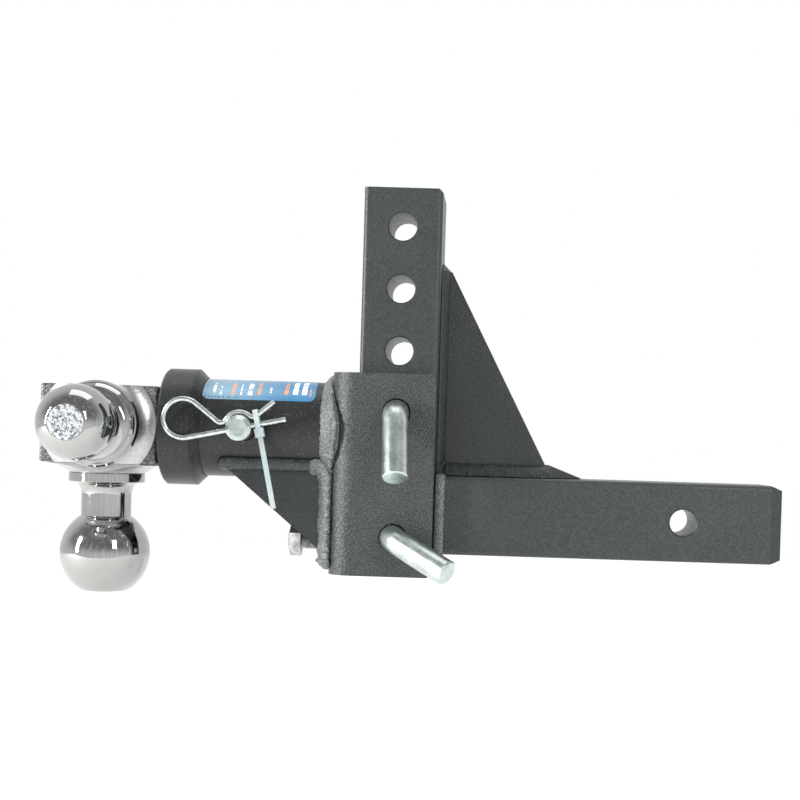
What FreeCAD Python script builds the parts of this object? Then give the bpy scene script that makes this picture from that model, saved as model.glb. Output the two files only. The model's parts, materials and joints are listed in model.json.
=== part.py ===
import FreeCAD, Part
import math
import os

# Adjustable drop hitch with a three-ball head.
# Origin: centre of the receiver pin's hole in the shank.
# +X points along the shank into the receiver, +Z up, -Y is the side with the bent handles.

vec = FreeCAD.Vector

# ---------------------------------------------------------------- driving dimensions, mm

# square bars
bar_side = 50.8
bar_edge_radius = 3.0
pin_to_post_axis = 186.0
shank_past_pin = 63.5
shank_end_chamfer_length = 7.0
shank_end_chamfer_depth = 3.0
receiver_hole_diameter = 17.0
hole_rim_chamfer = 0.8
post_hole_count = 6
post_hole_pitch = 40.0
post_end_margin = 25.0
lowest_hole_below_shank_axis = 15.0
post_top_chamfer = 2.5
shank_weld_bevel = 6.0
weld_crown = 1.0
weld_crown_chamfer = 0.99

# gusset between post and shank
gusset_thickness = 10.0
gusset_post_leg = 133.5
gusset_shank_leg = 73.5
gusset_tip_width = 6.5
gusset_foot_height = 4.5
gusset_foot_weld = 9.0
gusset_post_weld = 6.0
gusset_weld_run_out = 22.0
gusset_weld_top_run_out = 6.0
gusset_weld_end_size = 0.15

# sleeve that slides on the post
sleeve_wall = 10.0
sleeve_side_gap = 0.5
sleeve_back_gap = 6.6
sleeve_bend_radius = 15.0
sleeve_end_margin = 25.0
sleeve_pin_pitches = 2
sleeve_mouth_setback = 0.4
sleeve_corner_radius = 4.0
sleeve_hole_rim_chamfer = 0.3

# receiver tube and its end ring
shaft_diameter = 50.8
shaft_radial_clearance = 0.1
tube_wall = 6.25
tube_length = 111.0
tube_axis_below_upper_pin = 12.8
ring_wall = 6.35
ring_length = 26.0
ring_chamfer = 5.5
ring_mouth_round = 1.5

# webs under the tube
web_thickness = 8.0
web_outer_half_width = 23.0
web_reach = 69.0
web_nose_height = 3.0
web_bottom_margin = 9.5
web_bead_radius = 4.5
web_bead_outward = 0.675
web_bead_from_sleeve = 1.35
tube_weld_leg = 8.0
tube_weld_rise = 5.5
tube_weld_wrap = 7.0
tube_weld_middle_leg = 2.8
tube_weld_middle_rise = 3.025
tube_weld_wrap_rise = 1.1

# printed sticker on the tube
label_thickness = 0.25
label_gap_to_ring = 0.5
label_length = 73.0
label_edge_angle = 35.0

# ball head
hub_length = 76.0
hub_side = 50.8
hub_edge_radius = 1.8
hub_gap_to_ring = 2.0
boss_radius = 37.5
boss_height = 6.4
boss_rim_height = 0.8
boss_flare_in = 0.55
boss_flare_up = 0.33
collar_height = 6.3
neck_radius = 16.2
neck_fillet = 8.0
collar_land = 0.01
neck_end_from_axis = 60.3
shaft_end_gap = 5.0
ball_large_diameter = 58.74
ball_medium_diameter = 50.8
ball_small_diameter = 47.63
ball_large_flat = 25.0
ball_medium_flat = 22.2
ball_small_flat = 20.9
collar_large_radius = 24.65
collar_small_radius = 28.0
collar_small_top_radius = 24.4

# bent pins
pin_diameter = 16.3
pin_hole_play = 1.7
pin_bend_radius = 14.0
pin_handle_tilt = 29.0
pin_handle_length = 38.9
pin_end_past_clip = 7.0
pin_clip_end_chamfer = 2.6
pin_handle_end_chamfer = 0.8
pin_bend_clearance = 1.5
upper_handle_angle = -86.0
lower_handle_angle = -27.0
lock_handle_angle = 192.0
lock_pin_from_sleeve_back = 57.0

# R-clips
clip_wire = 3.3
clip_gap_to_face = 3.4
clip_hole_clearance = 0.25
clip_crest_clearance = 0.2
clip_loop_radius = 12.4
clip_valley_radius = 3.6
clip_entry_slope = -50.0
clip_entry_angle = 139.0
clip_exit_angle = 40.0
clip_exit_slope = 28.0
clip_tip_length = 14.6
clip_leg_past_pin = 30.2
lock_clip_tilt = 12.0

# cable tie round the lock pin's clip
tie_width = 3.2
tie_thickness = 1.1
tie_gap = 0.1
tie_from_pin_side = 4.05
tie_head_width = 5.8
tie_head_height = 6.0
tie_head_depth = 4.6
tie_tail_length = 46.0

# anti-rattle bolt and nut
bolt_diameter = 12.0
bolt_thread_clearance = 0.05
bolt_head_flats = 18.0
hexagon_sides = 6
hexagon_corner_angle = 60.0
hexagon_corner_start = 1.02
bolt_head_height = 7.5
bolt_head_from_sleeve = 20.5
bolt_above_sleeve_bottom = 19.5
bolt_tip_gap = 0.3
bolt_tip_chamfer = 1.2
bolt_wall_clearance = 0.5
nut_height = 10.0

# how closely an edge must lie to be picked for rounding
edge_tolerance = 1e-6
swept_edge_tolerance = 1e-4

# ---------------------------------------------------------------- derived places

post_hole_diameter = pin_diameter + pin_hole_play
post_x = -pin_to_post_axis
post_left_x = post_x - bar_side / 2
post_right_x = post_x + bar_side / 2
shank_top_z = bar_side / 2
post_holes_z = [
    -lowest_hole_below_shank_axis + post_hole_pitch * i for i in range(post_hole_count)
]
post_bottom_z = post_holes_z[0] - post_end_margin
post_top_z = post_holes_z[-1] + post_end_margin

lower_pin_z = post_holes_z[0]
upper_pin_z = post_holes_z[sleeve_pin_pitches]
sleeve_bottom_z = lower_pin_z - sleeve_end_margin
sleeve_top_z = upper_pin_z + sleeve_end_margin
sleeve_inner_half = bar_side / 2 + sleeve_side_gap
sleeve_outer_half = sleeve_inner_half + sleeve_wall
sleeve_mouth_x = post_right_x - sleeve_mouth_setback
sleeve_inner_back_x = post_left_x - sleeve_back_gap
sleeve_back_x = sleeve_inner_back_x - sleeve_wall

shaft_radius = shaft_diameter / 2
tube_bore_radius = shaft_radius + shaft_radial_clearance
tube_radius = tube_bore_radius + tube_wall
ring_radius = tube_radius + ring_wall
tube_axis_z = upper_pin_z - tube_axis_below_upper_pin
tube_mouth_x = sleeve_back_x - tube_length
ring_end_x = tube_mouth_x + ring_length
web_bottom_z = sleeve_bottom_z + web_bottom_margin
web_nose_x = sleeve_back_x - web_reach
web_contact_z = tube_axis_z - math.sqrt(tube_radius ** 2 - web_outer_half_width ** 2)

hub_right_x = tube_mouth_x - hub_gap_to_ring
hub_x = hub_right_x - hub_length / 2
boss_top = hub_side / 2 + boss_height

pin_radius = pin_diameter / 2
wire_radius = clip_wire / 2
lock_pin_x = sleeve_back_x - lock_pin_from_sleeve_back
sleeve_clip_y = sleeve_outer_half + clip_gap_to_face + wire_radius
lock_clip_y = ring_radius + clip_gap_to_face / 2 + wire_radius
bolt_z = sleeve_bottom_z + bolt_above_sleeve_bottom
bolt_radius = bolt_diameter / 2


# ---------------------------------------------------------------- helpers

def polygon(points):
    wire = Part.makePolygon([vec(*p) for p in points + points[:1]])
    return Part.Face(wire)


def box_between(low, high):
    size = [b - a for a, b in zip(low, high)]
    return Part.makeBox(size[0], size[1], size[2], vec(*low))


def bar_along_y(radius, x, z, half_length):
    return Part.makeCylinder(radius, 2 * half_length, vec(x, -half_length, z), vec(0, 1, 0))


def hole_along_y(diameter, x, z, half_length, rim):
    """A through hole with a small chamfer at both rims, to be cut away."""
    radius = diameter / 2
    hole = bar_along_y(radius, x, z, half_length)
    for side in (-1, 1):
        rim_cone = Part.makeCone(
            radius + rim, radius, rim, vec(x, side * half_length, z), vec(0, -side, 0)
        )
        hole = hole.fuse(rim_cone)
    return hole


def edges_along(shape, axis):
    """Straight edges parallel to one of the axes."""
    found = []
    for edge in shape.Edges:
        run = edge.Vertexes[-1].Point - edge.Vertexes[0].Point
        if edge.Length > 0 and abs(abs(run.dot(axis)) - edge.Length) < edge_tolerance:
            found.append(edge)
    return found


def bead(points, radius):
    """A weld bead: round bar along a few straight runs, with round ends."""
    start = vec(*points[0])
    body = Part.makeSphere(radius, start)
    for a, b in zip(points, points[1:]):
        run = vec(*b) - vec(*a)
        body = body.fuse(Part.makeCylinder(radius, run.Length, vec(*a), run))
        body = body.fuse(Part.makeSphere(radius, vec(*b)))
    return body


def largest_solid(shape):
    return max(shape.Solids, key=lambda solid: solid.Volume)


def turned(shape, angle, centre=vec(0, 0, 0), axis=vec(0, 1, 0)):
    copy = shape.copy()
    copy.rotate(centre, axis, angle)
    return copy


def moved(shape, x, y, z):
    copy = shape.copy()
    copy.translate(vec(x, y, z))
    return copy


# ---------------------------------------------------------------- welded drop frame

def make_shank():
    half = bar_side / 2
    bar = box_between((post_right_x, -half, -half), (shank_past_pin, half, half))
    bar = bar.makeFillet(bar_edge_radius, edges_along(bar, vec(1, 0, 0)))
    bar = bar.common(tapered_bar(shank_past_pin, -1, shank_end_chamfer_length, shank_end_chamfer_depth))
    bar = bar.common(tapered_bar(post_right_x, 1, shank_weld_bevel, shank_weld_bevel))
    return bar.cut(hole_along_y(receiver_hole_diameter, 0, 0, half, hole_rim_chamfer))


def tapered_bar(end_x, inward, taper_length, taper_depth):
    """Square prism whose sides lean in over the last stretch before end_x."""
    reach = pin_to_post_axis + shank_past_pin
    half = bar_side / 2
    outline = [
        (end_x, 0, half - taper_depth),
        (end_x + inward * taper_length, 0, half),
        (end_x + inward * reach, 0, half),
        (end_x + inward * reach, 0, -half),
        (end_x + inward * taper_length, 0, -half),
        (end_x, 0, -half + taper_depth),
    ]
    side_view = moved(polygon(outline), 0, -bar_side, 0).extrude(vec(0, 2 * bar_side, 0))
    plan_view = turned(side_view, 90, axis=vec(1, 0, 0))
    return side_view.common(plan_view)


def make_post():
    half = bar_side / 2
    bar = box_between(
        (post_left_x, -half, post_bottom_z), (post_right_x, half, post_top_z)
    )
    bar = bar.makeFillet(bar_edge_radius, edges_along(bar, vec(0, 0, 1)))
    corner = [
        (post_right_x - post_top_chamfer, -bar_side, post_top_z),
        (post_right_x, -bar_side, post_top_z),
        (post_right_x, -bar_side, post_top_z - post_top_chamfer),
    ]
    bar = bar.cut(polygon(corner).extrude(vec(0, 2 * bar_side, 0)))
    for z in post_holes_z:
        bar = bar.cut(hole_along_y(post_hole_diameter, post_x, z, half, hole_rim_chamfer))
    return bar


def make_gusset(shank_weld):
    x0 = post_right_x
    z0 = shank_top_z
    outline = [
        (x0, z0),
        (x0 + gusset_shank_leg, z0),
        (x0 + gusset_shank_leg, z0 + gusset_foot_height),
        (x0 + gusset_tip_width, z0 + gusset_post_leg),
        (x0, z0 + gusset_post_leg),
    ]
    face = polygon([(x, -gusset_thickness / 2, z) for x, z in outline])
    return face.extrude(vec(0, gusset_thickness, 0)).cut(shank_weld)


def make_weld_shank_post(neighbours):
    half = bar_side / 2 + weld_crown
    block = box_between(
        (post_right_x, -half, -half), (post_right_x + shank_weld_bevel + weld_crown, half, half)
    )
    block = block.makeChamfer(weld_crown_chamfer, block.Edges)
    for piece in neighbours:
        block = block.cut(piece)
    return largest_solid(block)


def tapering_weld(section, run):
    """A weld's end: its section shrinks about its middle over the run and dies away."""
    middle = vec(0, 0, 0)
    for point in section:
        middle = middle + vec(*point) * (1 / len(section))
    end = [middle + run + (vec(*p) - middle) * gusset_weld_end_size for p in section]
    wires = [Part.makePolygon([vec(*p) for p in loop + loop[:1]]) for loop in (section, end)]
    return Part.makeLoft(wires, True, True)


def make_weld_gusset(neighbours):
    """Fillets along the foot and up the post on both sides, meeting round the toe and the top."""
    x0 = post_right_x
    z0 = shank_top_z
    foot = gusset_foot_weld
    upright = gusset_post_weld
    half = gusset_thickness / 2
    toe_x = x0 + gusset_shank_leg
    top_z = z0 + gusset_post_leg
    foot_section = [(0, -half - foot, z0), (0, -half, z0 + foot), (0, half, z0 + foot), (0, half + foot, z0)]
    upright_section = [
        (x0, -half - upright, 0), (x0 + upright, -half, 0), (x0 + upright, half, 0), (x0, half + upright, 0)
    ]
    foot_start = [(x0, y, z) for _, y, z in foot_section]
    upright_start = [(x, y, z0) for x, y, _ in upright_section]
    toe = [(toe_x, y, z) for _, y, z in foot_section]
    top = [(x, y, top_z) for x, y, _ in upright_section]
    weld = polygon(foot_start).extrude(vec(toe_x - x0, 0, 0))
    weld = weld.fuse(polygon(upright_start).extrude(vec(0, 0, top_z - z0)))
    weld = weld.fuse(tapering_weld(toe, vec(gusset_weld_run_out, 0, -foot / 2)))
    weld = weld.fuse(tapering_weld(top, vec(-upright / 2, 0, gusset_weld_top_run_out)))
    for piece in neighbours:
        weld = weld.cut(piece)
    return largest_solid(weld.removeSplitter())


# ---------------------------------------------------------------- sleeve and receiver tube

def channel_outline(half, back_x, radius, z):
    """U-shaped wire, open towards +X, with the two rear corners rounded."""
    mouth_x = sleeve_mouth_x
    corner_x = back_x + radius
    bulge = radius * (1 - math.sqrt(0.5))
    edges = [
        Part.LineSegment(vec(mouth_x, -half, z), vec(corner_x, -half, z)),
        Part.Arc(
            vec(corner_x, -half, z),
            vec(back_x + bulge, -half + bulge, z),
            vec(back_x, -half + radius, z),
        ),
        Part.LineSegment(vec(back_x, -half + radius, z), vec(back_x, half - radius, z)),
        Part.Arc(
            vec(back_x, half - radius, z),
            vec(back_x + bulge, half - bulge, z),
            vec(corner_x, half, z),
        ),
        Part.LineSegment(vec(corner_x, half, z), vec(mouth_x, half, z)),
        Part.LineSegment(vec(mouth_x, half, z), vec(mouth_x, -half, z)),
    ]
    return Part.Face(Part.Wire([edge.toShape() for edge in edges]))


def make_sleeve():
    height = vec(0, 0, sleeve_top_z - sleeve_bottom_z)
    outer = channel_outline(
        sleeve_outer_half, sleeve_back_x, sleeve_bend_radius, sleeve_bottom_z
    ).extrude(height)
    inner = channel_outline(
        sleeve_inner_half, sleeve_inner_back_x, sleeve_bend_radius - sleeve_wall, sleeve_bottom_z
    ).extrude(height)
    channel = outer.cut(inner)
    corners = [
        edge for edge in edges_along(channel, vec(0, 1, 0))
        if abs(edge.CenterOfMass.x - sleeve_mouth_x) < edge_tolerance
    ]
    channel = channel.makeFillet(sleeve_corner_radius, corners)
    for z in (lower_pin_z, upper_pin_z):
        channel = channel.cut(
            hole_along_y(post_hole_diameter, post_x, z, sleeve_outer_half, sleeve_hole_rim_chamfer)
        )
    bolt_hole = Part.makeCylinder(
        bolt_radius + bolt_wall_clearance, 2 * sleeve_wall,
        vec(sleeve_back_x - sleeve_wall / 2, 0, bolt_z), vec(1, 0, 0),
    )
    return channel.cut(bolt_hole)


def tube_blank(radius, x0, x1):
    return Part.makeCylinder(radius, x1 - x0, vec(x0, 0, tube_axis_z), vec(1, 0, 0))


def make_tube():
    tube = tube_blank(tube_radius, tube_mouth_x, sleeve_back_x)
    tube = tube.cut(tube_blank(tube_bore_radius, tube_mouth_x, sleeve_back_x))
    return tube.cut(bar_along_y(post_hole_diameter / 2, lock_pin_x, tube_axis_z, ring_radius))


def make_ring():
    profile = [
        (tube_mouth_x, 0, tube_radius),
        (tube_mouth_x, 0, ring_radius - ring_mouth_round),
        (tube_mouth_x + ring_mouth_round, 0, ring_radius),
        (ring_end_x - ring_chamfer, 0, ring_radius),
        (ring_end_x, 0, ring_radius - ring_chamfer),
        (ring_end_x, 0, tube_radius),
    ]
    face = moved(polygon(profile), 0, 0, tube_axis_z)
    return face.revolve(vec(0, 0, tube_axis_z), vec(1, 0, 0), 360)


def make_web(side):
    outline = [
        (sleeve_back_x, web_bottom_z),
        (sleeve_back_x, tube_axis_z),
        (web_nose_x, tube_axis_z),
        (web_nose_x, web_contact_z - web_nose_height),
    ]
    inner = side * (web_outer_half_width - web_thickness)
    face = polygon([(x, inner, z) for x, z in outline])
    plate = face.extrude(vec(0, side * web_thickness, 0))
    return plate.cut(tube_blank(tube_radius, web_nose_x - tube_radius, sleeve_back_x + tube_radius))


def make_weld_tube(sleeve, webs):
    """Fillet round the tube's root, which also fills the gap to the sleeve's rounded corners."""
    rise = tube_radius + tube_weld_rise
    profile = [
        (sleeve_back_x - tube_weld_leg, 0, tube_radius),
        (sleeve_back_x - tube_weld_middle_leg, 0, tube_radius + tube_weld_middle_rise),
        (sleeve_back_x, 0, rise),
        (sleeve_back_x + tube_weld_wrap, 0, tube_radius + tube_weld_wrap_rise),
        (sleeve_back_x + tube_weld_wrap, 0, tube_bore_radius),
        (sleeve_back_x, 0, tube_bore_radius),
        (sleeve_back_x, 0, tube_radius),
    ]
    face = moved(polygon(profile), 0, 0, tube_axis_z)
    weld = face.revolve(vec(0, 0, tube_axis_z), vec(1, 0, 0), 360).cut(sleeve)
    inside = box_between(
        (sleeve_inner_back_x - sleeve_wall / 2, -sleeve_inner_half, sleeve_bottom_z),
        (sleeve_mouth_x, sleeve_inner_half, sleeve_top_z),
    )
    weld = weld.cut(inside)
    for web in webs:
        weld = weld.cut(web)
    return largest_solid(weld)


def make_weld_web(side, neighbours):
    y = side * (web_outer_half_width + web_bead_outward)
    z = web_contact_z - web_bead_outward
    x = sleeve_back_x - web_bead_from_sleeve
    run = bead([
        (web_nose_x, y, z),
        (x, y, z),
        (x, y, web_bottom_z + web_bead_from_sleeve),
    ], web_bead_radius)
    for piece in neighbours:
        run = run.cut(piece)
    return largest_solid(run)


def make_label():
    x0 = ring_end_x + label_gap_to_ring
    shell = tube_blank(tube_radius + label_thickness, x0, x0 + label_length)
    shell = shell.cut(tube_blank(tube_radius, x0, x0 + label_length))
    edge_z = tube_axis_z + tube_radius * math.sin(math.radians(label_edge_angle))
    above = box_between(
        (x0, -ring_radius, edge_z), (x0 + label_length, ring_radius, tube_axis_z + ring_radius)
    )
    return shell.common(above)


# ---------------------------------------------------------------- ball head

def make_boss(top_radius):
    """Flared seat for one ball, built pointing along +Z from the hub's axis."""
    face_z = hub_side / 2
    rim_z = face_z + boss_rim_height
    middle = vec(
        boss_radius - (boss_radius - top_radius) * boss_flare_in, 0,
        rim_z + (boss_height - boss_rim_height) * boss_flare_up,
    )
    edges = [
        Part.LineSegment(vec(0, 0, 0), vec(boss_radius, 0, 0)),
        Part.LineSegment(vec(boss_radius, 0, 0), vec(boss_radius, 0, rim_z)),
        Part.Arc(vec(boss_radius, 0, rim_z), middle, vec(top_radius, 0, boss_top)),
        Part.LineSegment(vec(top_radius, 0, boss_top), vec(0, 0, boss_top)),
        Part.LineSegment(vec(0, 0, boss_top), vec(0, 0, 0)),
    ]
    face = Part.Face(Part.Wire([edge.toShape() for edge in edges]))
    boss = face.revolve(vec(0, 0, 0), vec(0, 0, 1), 360)
    half_x = hub_length / 2
    half_y = hub_side / 2
    return boss.common(box_between((-half_x, -half_y, 0), (half_x, half_y, boss_top + boss_height)))


def make_ball(diameter, flat_from_centre, collar_radius, collar_top_radius):
    """Collar, waisted neck and flattened ball, pointing along +Z from the hub's axis."""
    radius = diameter / 2
    centre_z = neck_end_from_axis + math.sqrt(radius ** 2 - neck_radius ** 2)
    flat_z = centre_z + flat_from_centre
    flat_radius = math.sqrt(radius ** 2 - flat_from_centre ** 2)
    collar_z = boss_top + collar_height
    fillet = min(neck_fillet, collar_top_radius - neck_radius)
    bulge = fillet * (1 - math.sqrt(0.5))
    edges = [
        Part.LineSegment(vec(0, 0, boss_top), vec(collar_radius, 0, boss_top)),
        Part.LineSegment(vec(collar_radius, 0, boss_top), vec(collar_top_radius, 0, collar_z)),
        Part.LineSegment(
            vec(collar_top_radius, 0, collar_z), vec(neck_radius + fillet - collar_land, 0, collar_z)
        ),
        Part.Arc(
            vec(neck_radius + fillet - collar_land, 0, collar_z),
            vec(neck_radius + bulge, 0, collar_z + bulge),
            vec(neck_radius, 0, collar_z + fillet),
        ),
        Part.LineSegment(
            vec(neck_radius, 0, collar_z + fillet), vec(neck_radius, 0, neck_end_from_axis)
        ),
        Part.Arc(
            vec(neck_radius, 0, neck_end_from_axis),
            vec(radius, 0, centre_z),
            vec(flat_radius, 0, flat_z),
        ),
        Part.LineSegment(vec(flat_radius, 0, flat_z), vec(0, 0, flat_z)),
        Part.LineSegment(vec(0, 0, flat_z), vec(0, 0, boss_top)),
    ]
    face = Part.Face(Part.Wire([edge.toShape() for edge in edges]))
    return face.revolve(vec(0, 0, 0), vec(0, 0, 1), 360)


def on_hub(shape, turn):
    """Turn about the hub's axis: 90 faces -Y, 180 down, 270 faces +Y."""
    return moved(turned(shape, turn, axis=vec(1, 0, 0)), hub_x, 0, tube_axis_z)


def make_hub():
    half_x = hub_length / 2
    half = hub_side / 2
    block = box_between((-half_x, -half, -half), (half_x, half, half))
    block = block.makeFillet(hub_edge_radius, block.Edges)
    block = moved(block, hub_x, 0, tube_axis_z)
    for turn, collar in (
        (90, collar_small_radius), (180, collar_large_radius), (270, collar_large_radius)
    ):
        block = block.fuse(on_hub(make_boss(collar), turn))
    return block.removeSplitter()


def make_shaft():
    end_x = sleeve_back_x - shaft_end_gap
    shaft = tube_blank(shaft_radius, hub_right_x, end_x)
    cross = bar_along_y(post_hole_diameter / 2, lock_pin_x, tube_axis_z, ring_radius)
    upright = turned(cross, 90, vec(lock_pin_x, 0, tube_axis_z), vec(1, 0, 0))
    return shaft.cut(cross).cut(upright)


# ---------------------------------------------------------------- pins, clips and tie

def make_bent_pin(bend_y, end_y, clip_y, clip_tilt, handle_angle):
    """Pin on the Y axis: handle on the -Y side, cross hole for its clip on the +Y side."""
    bend = math.radians(90 - pin_handle_tilt)
    half_bend = bend / 2
    radius = pin_bend_radius
    start = vec(0, end_y, 0)
    bend_start = vec(0, bend_y, 0)
    bend_middle = vec(radius * (1 - math.cos(half_bend)), bend_y - radius * math.sin(half_bend), 0)
    bend_end = vec(radius * (1 - math.cos(bend)), bend_y - radius * math.sin(bend), 0)
    grip = vec(math.sin(bend), -math.cos(bend), 0)
    tip = bend_end + grip * pin_handle_length
    path = Part.Wire([
        Part.LineSegment(start, bend_start).toShape(),
        Part.Arc(bend_start, bend_middle, bend_end).toShape(),
        Part.LineSegment(bend_end, tip).toShape(),
    ])
    section = Part.Wire([Part.makeCircle(pin_radius, start, vec(0, 1, 0))])
    pin = path.makePipeShell([section], True, False)
    for place, chamfer in ((start, pin_clip_end_chamfer), (tip, pin_handle_end_chamfer)):
        rim = [
            edge for edge in pin.Edges
            if edge.CenterOfMass.distanceToPoint(place) < swept_edge_tolerance and edge.Length > pin_radius
        ]
        pin = pin.makeChamfer(chamfer, rim)
    pin = turned(pin, -handle_angle)
    cross = Part.makeCylinder(
        wire_radius + clip_hole_clearance, 2 * pin_diameter, vec(-pin_diameter, clip_y, 0), vec(1, 0, 0)
    )
    return pin.cut(turned(cross, -clip_tilt, vec(0, clip_y, 0)))


def polar(radius, angle, centre=vec(0, 0, 0)):
    turn = math.radians(angle)
    return centre + vec(radius * math.cos(turn), 0, radius * math.sin(turn))


def clip_exit_line():
    """Where the clip's bent leg leaves its last bend and runs straight to its tip."""
    crest = pin_radius + wire_radius + clip_crest_clearance
    centre = polar(crest + clip_valley_radius, clip_exit_angle)
    return polar(clip_valley_radius, clip_exit_slope - 90, centre)


def make_clip():
    """R-clip in the XZ plane, its straight leg on the X axis and the pin's centre at the origin."""
    crest = pin_radius + wire_radius + clip_crest_clearance
    valley = clip_valley_radius
    entry_centre = polar(crest + valley, clip_entry_angle)
    exit_centre = polar(crest + valley, clip_exit_angle)
    entry_line = polar(valley, clip_entry_slope - 90, entry_centre)
    exit_line = clip_exit_line()
    slope = math.radians(clip_entry_slope)
    loop = clip_loop_radius
    loop_x = entry_line.x + (loop + (loop - entry_line.z) * math.cos(slope)) / math.sin(slope)
    loop_centre = vec(loop_x, 0, loop)
    loop_leave = polar(loop, clip_entry_slope + 90, loop_centre)
    crest_in = polar(crest, clip_entry_angle)
    crest_out = polar(crest, clip_exit_angle)
    tip = exit_line + polar(clip_tip_length, clip_exit_slope)
    leg_end = vec(clip_leg_past_pin, 0, 0)
    leg_bend = vec(loop_x, 0, 0)
    entry_middle = polar(valley, (clip_entry_slope - 90 + clip_entry_angle - 180) / 2, entry_centre)
    exit_middle = polar(valley, (clip_exit_angle - 180 + clip_exit_slope - 90) / 2, exit_centre)
    edges = [
        Part.LineSegment(leg_end, leg_bend),
        Part.Arc(leg_bend, polar(loop, 180, loop_centre), loop_leave),
        Part.LineSegment(loop_leave, entry_line),
        Part.Arc(entry_line, entry_middle, crest_in),
        Part.Arc(crest_in, polar(crest, 90), crest_out),
        Part.Arc(crest_out, exit_middle, exit_line),
        Part.LineSegment(exit_line, tip),
    ]
    path = Part.Wire([edge.toShape() for edge in edges])
    section = Part.Wire([Part.makeCircle(wire_radius, leg_end, vec(1, 0, 0))])
    return path.makePipeShell([section], True, False)


def make_tie():
    """Strap, head and tail in one, in the clip's own frame: tail along -Z."""
    x = pin_radius + tie_from_pin_side
    half = tie_width / 2
    rise = math.radians(clip_exit_slope)
    bent_leg = clip_exit_line()
    leg_top = bent_leg.z + (x + half - bent_leg.x) * math.tan(rise) + wire_radius / math.cos(rise)
    inner_y = wire_radius + tie_gap
    inner_low = -wire_radius - tie_gap
    inner_high = leg_top + tie_gap
    outer = box_between(
        (x - half, -inner_y - tie_thickness, inner_low - tie_thickness),
        (x + half, inner_y + tie_thickness, inner_high + tie_thickness),
    )
    outer = outer.makeFillet(tie_thickness, edges_along(outer, vec(1, 0, 0)))
    hollow = box_between((x - half, -inner_y, inner_low), (x + half, inner_y, inner_high))
    head_top = inner_low - tie_thickness / 2
    head = box_between(
        (x - tie_head_width / 2, -tie_head_depth / 2, head_top - tie_head_height),
        (x + tie_head_width / 2, tie_head_depth / 2, head_top),
    )
    head = head.makeFillet(tie_thickness / 2, head.Edges)
    tail_top = head_top - tie_head_height / 2
    tail = box_between(
        (x - half, -tie_thickness / 2, head_top - tie_head_height - tie_tail_length),
        (x + half, tie_thickness / 2, tail_top),
    )
    return outer.cut(hollow).fuse(head).fuse(tail).removeSplitter()


# ---------------------------------------------------------------- anti-rattle bolt

def hexagon(flats, x, height):
    corner = flats / math.sqrt(3)
    points = [
        (x, corner * math.sin(turn), bolt_z + corner * math.cos(turn))
        for turn in (2 * math.pi * i / hexagon_sides for i in range(hexagon_sides))
    ]
    prism = polygon(points).extrude(vec(height, 0, 0))
    widening = math.tan(math.radians(hexagon_corner_angle))
    start_radius = flats / 2 * hexagon_corner_start
    cone_height = height + (corner - flats / 2) / widening
    cone = Part.makeCone(
        start_radius, start_radius + cone_height * widening, cone_height,
        vec(x, 0, bolt_z), vec(1, 0, 0),
    )
    return prism.common(cone)


def make_bolt():
    seat_x = sleeve_back_x - bolt_head_from_sleeve
    tip_x = post_left_x - bolt_tip_gap
    head = hexagon(bolt_head_flats, seat_x - bolt_head_height, bolt_head_height)
    shank = Part.makeCylinder(bolt_radius, tip_x - seat_x, vec(seat_x, 0, bolt_z), vec(1, 0, 0))
    rim = [
        edge for edge in shank.Edges
        if abs(edge.CenterOfMass.x - tip_x) < edge_tolerance and edge.Length > bolt_radius
    ]
    return head.fuse(shank.makeChamfer(bolt_tip_chamfer, rim)).removeSplitter()


def make_nut():
    nut = hexagon(bolt_head_flats, sleeve_back_x - nut_height, nut_height)
    bore = Part.makeCylinder(
        bolt_radius + bolt_thread_clearance, nut_height, vec(sleeve_back_x - nut_height, 0, bolt_z),
        vec(1, 0, 0),
    )
    return nut.cut(bore)


# ---------------------------------------------------------------- assembly

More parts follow.
